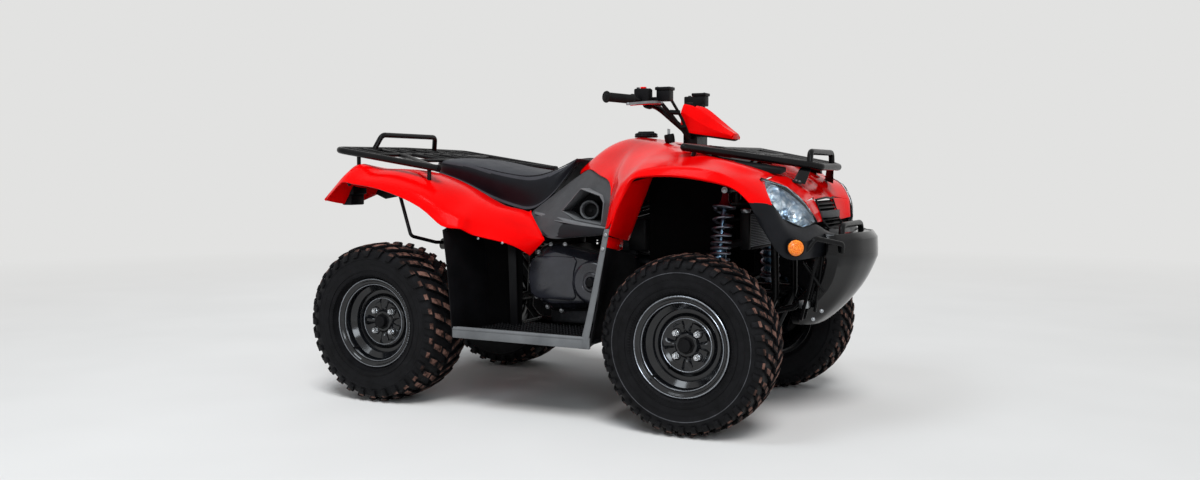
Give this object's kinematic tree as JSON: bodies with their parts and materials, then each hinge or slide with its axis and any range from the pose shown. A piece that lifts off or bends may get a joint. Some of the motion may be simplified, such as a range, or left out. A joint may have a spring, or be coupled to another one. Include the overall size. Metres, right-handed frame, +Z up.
{
  "type": "four-wheel utility quad bike",
  "caption": "Four-wheel utility quad bike with straddle seat, handlebar steering, lugged tyres, tube racks front and rear, and footwells with flat boards.",
  "frame": {"origin": "on the ground under the middle of the vehicle's box", "axes": "+X forward, +Y to the rider's left, +Z up"},
  "size_m": [2.1199, 1.164, 1.204],
  "materials": {
    "frame_steel": "black satin powder coat",
    "engine_cast": "dark cast alloy",
    "cover_black": "black gloss paint on cast alloy",
    "exhaust_steel": "heat-dulled steel",
    "radiator_alloy": "finned, dull black",
    "black_plastic": "grained, moulded",
    "grey_plastic": "grained, moulded dark grey",
    "seat_vinyl": "grained black vinyl",
    "red_plastic": "moulded gloss red",
    "lamp_lens": "clear moulded lens",
    "amber_lens": "clear amber",
    "red_lens": "clear red",
    "spring_steel": "painted coil spring",
    "grip_rubber": "ribbed",
    "knuckle_iron": "as cast, painted black",
    "tie_rod_steel": "plated",
    "axle_steel": "machined",
    "rim_steel": "black gloss paint",
    "tyre_rubber": "black tread rubber"
  },
  "bodies": {
    "chassis": {"frame": "frame_steel", "engine": "engine_cast", "belt_cover": "cover_black", "exhaust": "exhaust_steel", "radiator": "radiator_alloy", "skid_plate": "black_plastic", "seat": "seat_vinyl", "front_body": "red_plastic", "nose_panel": "red_plastic", "rear_fender": "red_plastic", "fuel_cap": "black_plastic", "headlights": "lamp_lens", "front_indicators": "amber_lens", "tail_lights": "red_lens", "front_fascia": "black_plastic", "inner_liners": "black_plastic", "bumper": "black_plastic", "bumper_guard": "frame_steel", "front_rack": "frame_steel", "rear_rack": "frame_steel", "footwell_right": "black_plastic", "footwell_left": "black_plastic", "side_panels": "grey_plastic", "front_arms": "frame_steel", "front_shocks": "spring_steel", "front_drive": "engine_cast", "swing_arm": "frame_steel", "rear_shock": "spring_steel"},
    "steering": {"handlebar": "frame_steel", "grips": "grip_rubber", "controls": "black_plastic", "handlebar_pod": "red_plastic"},
    "knuckle_right": {"knuckle_right": "knuckle_iron"},
    "knuckle_left": {"knuckle_left": "knuckle_iron"},
    "tie_rod_right": {"tie_rod_right": "tie_rod_steel"},
    "tie_rod_left": {"tie_rod_left": "tie_rod_steel"},
    "wheel_front_right": {"rim_front_right": "rim_steel", "tyre_front_right": "tyre_rubber"},
    "wheel_front_left": {"rim_front_left": "rim_steel", "tyre_front_left": "tyre_rubber"},
    "rear_axle": {"rear_axle": "axle_steel", "rim_rear_right": "rim_steel", "rim_rear_left": "rim_steel", "tyre_rear_right": "tyre_rubber", "tyre_rear_left": "tyre_rubber"}
  },
  "joints": [
    {"name": "steering_turn", "type": "hinge", "parent": "chassis", "child": "steering", "pos_m": [0.515, 0, 0.38], "axis": [-0.2512, 0, 0.9679], "range_deg": [-38, 38]},
    {"name": "kingpin_right", "type": "hinge", "parent": "chassis", "child": "knuckle_right", "pos_m": [0.543, -0.42, 0.308], "axis": [0, 0, 1], "range_deg": [-25, 25]},
    {"name": "tie_rod_right_end", "type": "hinge", "parent": "knuckle_right", "child": "tie_rod_right", "pos_m": [0.455, -0.396, 0.345], "axis": [0, 0, 1], "range_deg": [-25, 25]},
    {"name": "wheel_front_right_spin", "type": "hinge", "parent": "knuckle_right", "child": "wheel_front_right", "pos_m": [0.543, -0.481, 0.308], "axis": [0, 1, 0], "continuous": true},
    {"name": "kingpin_left", "type": "hinge", "parent": "chassis", "child": "knuckle_left", "pos_m": [0.543, 0.42, 0.308], "axis": [0, 0, 1], "range_deg": [-25, 25]},
    {"name": "tie_rod_left_end", "type": "hinge", "parent": "knuckle_left", "child": "tie_rod_left", "pos_m": [0.455, 0.396, 0.345], "axis": [0, 0, 1], "range_deg": [-25, 25]},
    {"name": "wheel_front_left_spin", "type": "hinge", "parent": "knuckle_left", "child": "wheel_front_left", "pos_m": [0.543, 0.481, 0.308], "axis": [0, 1, 0], "continuous": true},
    {"name": "rear_axle_spin", "type": "hinge", "parent": "chassis", "child": "rear_axle", "pos_m": [-0.747, 0, 0.308], "axis": [0, 1, 0], "continuous": true}
  ],
  "couplings": [
    {"joint": "kingpin_right", "follows": "steering_turn", "ratio": 0.65788},
    {"joint": "tie_rod_right_end", "follows": "steering_turn", "ratio": -0.65788},
    {"joint": "kingpin_left", "follows": "steering_turn", "ratio": 0.65788},
    {"joint": "tie_rod_left_end", "follows": "steering_turn", "ratio": -0.65788}
  ]
}
